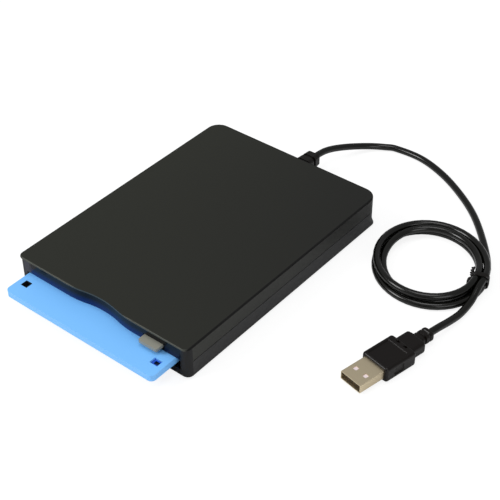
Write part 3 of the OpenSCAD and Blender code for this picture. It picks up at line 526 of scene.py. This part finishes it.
def paint_front():
    painter = Painter(LOOKS["gloss_black"])
    # Painted reflection of the disk's blue above the slot
    for x, fade, edge, colour in DISK_BLUE_REFLECTIONS:
        above = painter.box(x, None, (SLOT_TOP, None), edge=edge)
        painter.paint(painter.all_of(above, painter.ramp("Z", *fade)), colour)
    # Painted reflection in grey at the left end of the front
    painter.paint(painter.box(*GREY_REFLECTION, edge=GREY_REFLECTION_EDGE), GREY_REFLECTION_COLOUR, GREY_REFLECTION_ROUGH)
    for x in CORNERS:
        painter.paint(painter.box(x, None, None, edge=CORNER_EDGE), CORNER_COLOUR, CORNER_ROUGH)


# Painted shade makes the density hole of the disk black inside
HOLE_X, HOLE_Y, HOLE_HALF = -40.8, -76.5, 1.95
HOLE_TOP = 9.33
HOLE_EDGE = 0.03
HOLE_SHADE_COLOUR, HOLE_SHADE_ROUGH = (0.003, 0.003, 0.006), 0.6


def paint_disk():
    painter = Painter(LOOKS["disk_blue"])
    x, y = ((at - HOLE_HALF, at + HOLE_HALF) for at in (HOLE_X, HOLE_Y))
    # Painted shade inside the density hole
    painter.paint(painter.box(x, y, (None, HOLE_TOP), edge=HOLE_EDGE), HOLE_SHADE_COLOUR, HOLE_SHADE_ROUGH)


# Painted shade in the write tab's dip; painted light on the tongue under the shell's windows
TAB_DIP_TOP = 8.2
TAB_DIP_SHADE_COLOUR = (0.001, 0.008, 0.04)
TONGUE_LIT_Y = (-27, -21)
TONGUE_LIT_COLOUR = (0.8, 0.68, 0.7)


def paint_tab():
    painter = Painter(LOOKS["tab_blue"])
    # Painted shade in the dip of the write tab
    painter.paint(painter.box(None, None, (None, TAB_DIP_TOP)), TAB_DIP_SHADE_COLOUR)


def paint_tongue():
    painter = Painter(LOOKS["tongue"])
    # Painted light on the tongue under the windows of the shell
    painter.paint(painter.box(None, TONGUE_LIT_Y, None), TONGUE_LIT_COLOUR)


def dress(piece, look):
    piece.data.materials.clear()
    piece.data.materials.append(LOOKS[look])


paint_covers()
paint_front()
paint_disk()
paint_tab()
paint_tongue()
for name, node in frame["nodes"].items():
    dress(node, OWN_LOOKS.get(name, slot_of[name]))
dress(cord, "cord_rubber")
dress(plug_body, "plug_black")
dress(tie, "plug_black")

# Bevels on the CAD pieces
BEVEL_SEGMENTS = 3
BEVEL_ANGLE = math.radians(32)
BEVELS = {
    "top_cover": 0.2, "bottom_cover": 0.25, "front_bezel": 0.15, "disk_upper_shell": 0.3,
    "disk_lower_shell": 0.3, "eject_button": 0.45, "feet": 0.15,
    "plug_shell": 0.3, "cable_gland": 0.9,
}


def soften(piece, width):
    bevel = piece.modifiers.new("soft edges", "BEVEL")
    bevel.width = width * MM
    bevel.segments = BEVEL_SEGMENTS
    bevel.limit_method = "ANGLE"
    bevel.angle_limit = BEVEL_ANGLE
    bevel.use_clamp_overlap = True
    bevel.harden_normals = True


for name, width in BEVELS.items():
    soften(frame["nodes"][name], width)

# Stage
# Places and sizes here are in metres
FLOOR_SIZE = 6
FLOOR_AT = (0.03, 0.03, -0.0002)
FLOOR_BOUNCE = 0.82
# What the camera sees of the floor: its own glow and the light and shadow that fall on it
FLOOR_GLOW, FLOOR_SHADED = 0.84, 0.24
SKY = (0.98, 0.99, 1)
SKY_STRENGTH = 0.38
# Name, place, target, size and power in watts
LAMPS = (
    ("key", (-0.6, -0.75, 0.75), (0, 0, 0), 0.5, 8.0),
    ("top", (0.1, -0.1, 1.3), (0.03, 0, 0), 0.7, 5.0),
    ("fill", (0.9, -0.4, 0.35), (0.05, 0, 0), 0.6, 2.4),
)


def split_by_camera(tree, output, other, seen):
    """The camera sees one shader, and every other ray meets the other."""
    mix = tree.nodes.new("ShaderNodeMixShader")
    path = tree.nodes.new("ShaderNodeLightPath")
    out = tree.nodes.new(output)
    tree.links.new(path.outputs["Is Camera Ray"], mix.inputs[0])
    tree.links.new(other.outputs[0], mix.inputs[1])
    tree.links.new(seen.outputs[0], mix.inputs[2])
    tree.links.new(mix.outputs[0], out.inputs[0])


def coloured(tree, kind, colour, strength=None):
    node = tree.nodes.new(kind)
    node.inputs["Color"].default_value = (*colour, 1)
    if strength is not None:
        node.inputs["Strength"].default_value = strength
    return node


def make_floor():
    bpy.ops.mesh.primitive_plane_add(size=FLOOR_SIZE, location=FLOOR_AT)
    floor = bpy.context.object
    floor.name = "floor"
    made = bpy.data.materials.new("floor")
    made.use_nodes = True
    tree = made.node_tree
    tree.nodes.clear()
    bounce = coloured(tree, "ShaderNodeBsdfDiffuse", (FLOOR_BOUNCE,) * 3)
    shaded = coloured(tree, "ShaderNodeBsdfDiffuse", (FLOOR_SHADED,) * 3)
    glow = coloured(tree, "ShaderNodeEmission", (1, 1, 1), FLOOR_GLOW)
    both = tree.nodes.new("ShaderNodeAddShader")
    tree.links.new(glow.outputs[0], both.inputs[0])
    tree.links.new(shaded.outputs[0], both.inputs[1])
    split_by_camera(tree, "ShaderNodeOutputMaterial", bounce, both)
    floor.data.materials.append(made)


def make_world():
    world = bpy.data.worlds.new("world")
    scene.world = world
    world.use_nodes = True
    tree = world.node_tree
    tree.nodes.clear()
    sky = coloured(tree, "ShaderNodeBackground", SKY, SKY_STRENGTH)
    white = coloured(tree, "ShaderNodeBackground", (1, 1, 1), 1)
    split_by_camera(tree, "ShaderNodeOutputWorld", sky, white)


def make_lamp(name, at, target, size, power):
    data = bpy.data.lights.new(name, "AREA")
    data.shape = "RECTANGLE"
    data.size = data.size_y = size
    data.energy = power
    made = bpy.data.objects.new(name, data)
    made.location = at
    made.rotation_euler = (Vector(target) - Vector(at)).to_track_quat("-Z", "Y").to_euler()
    scene.collection.objects.link(made)


make_floor()
make_world()
for lamp in LAMPS:
    make_lamp(*lamp)

scene.view_settings.view_transform = "Standard"
